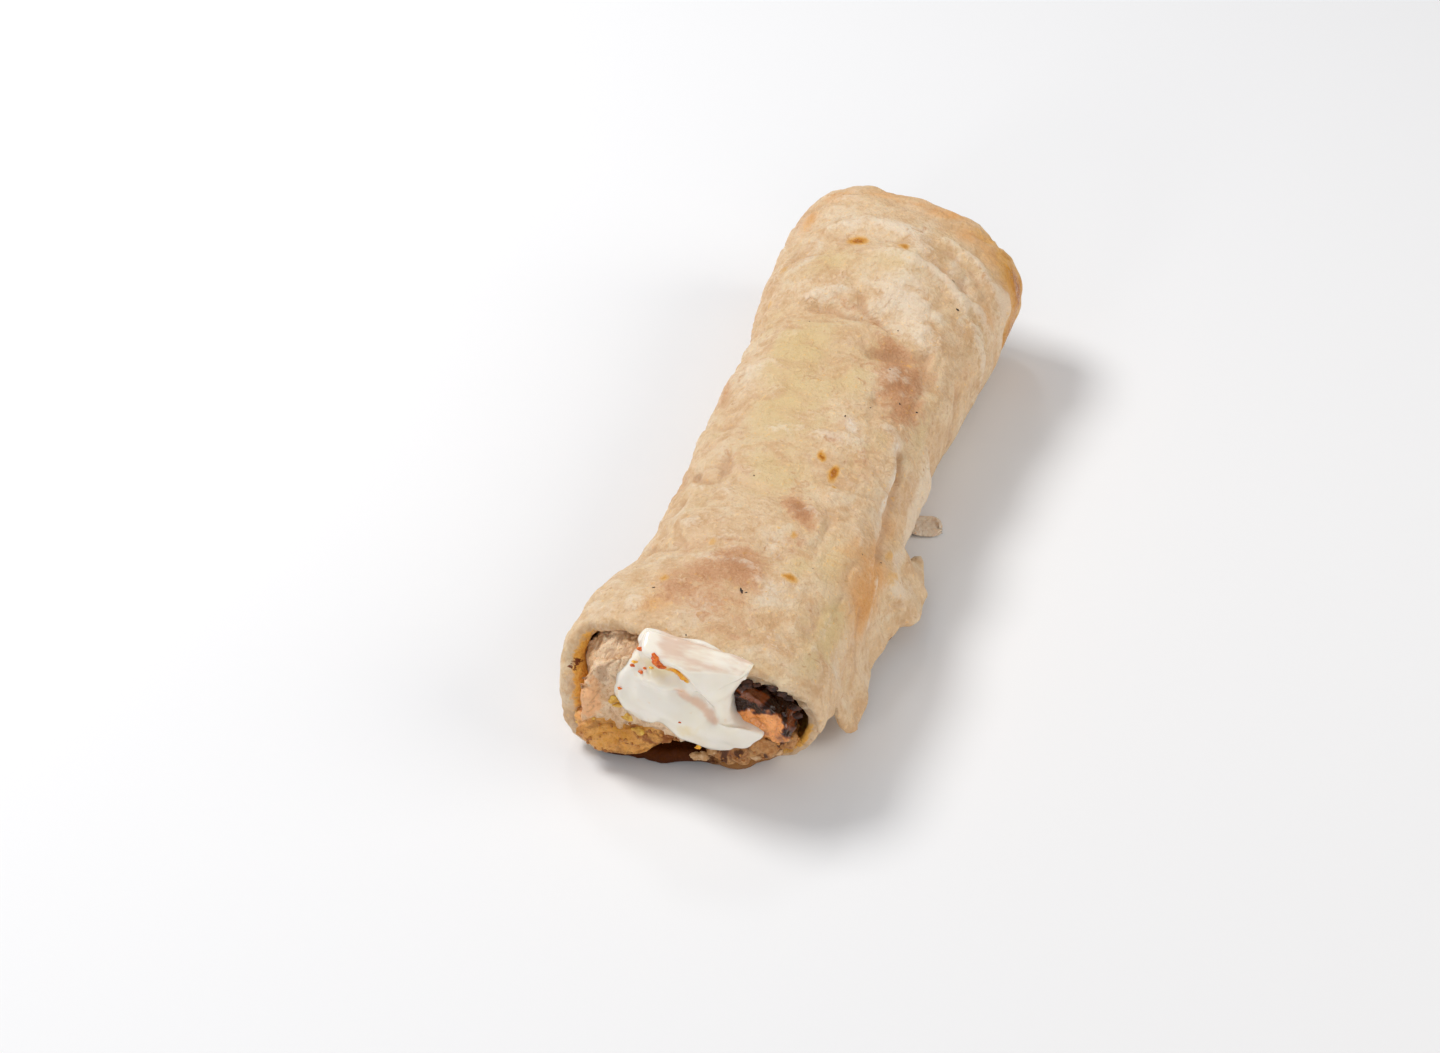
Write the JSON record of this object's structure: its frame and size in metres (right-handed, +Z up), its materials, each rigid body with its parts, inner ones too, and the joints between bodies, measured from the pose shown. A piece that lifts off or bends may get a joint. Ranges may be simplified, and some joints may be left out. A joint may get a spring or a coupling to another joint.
{
  "type": "chicken boti roll",
  "caption": "Rolled flatbread wrap with a loose overlapping edge, open at both ends on strips of spiced grilled chicken and a thick white garlic sauce that spills over one lip.",
  "frame": {"origin": "middle of the footprint, on the plane that the roll lies on", "axes": "+Y along the roll, from the open front end with the sauce to the far end; +X to the right side, where the loose edge of the bread is; +Z up"},
  "size_m": [0.0706, 0.1886, 0.0391],
  "materials": {
    "flatbread": "soft floury flatbread, matt with oily patches and toasted spots",
    "pale_chicken": "moist fibrous cooked chicken",
    "masala_chicken": "rough, moist spice crust on chicken",
    "charred_chicken": "glossy blackened crust over orange-brown chicken",
    "chicken_shreds": "rough crumbly chicken shreds",
    "garlic_sauce": "thick glossy off-white garlic sauce"
  },
  "bodies": {
    "root": {"paratha_wrap": "flatbread", "boti_pale": "pale_chicken", "boti_masala": "masala_chicken", "boti_charred": "charred_chicken", "boti_shreds": "chicken_shreds", "garlic_sauce": "garlic_sauce"}
  },
  "joints": []
}
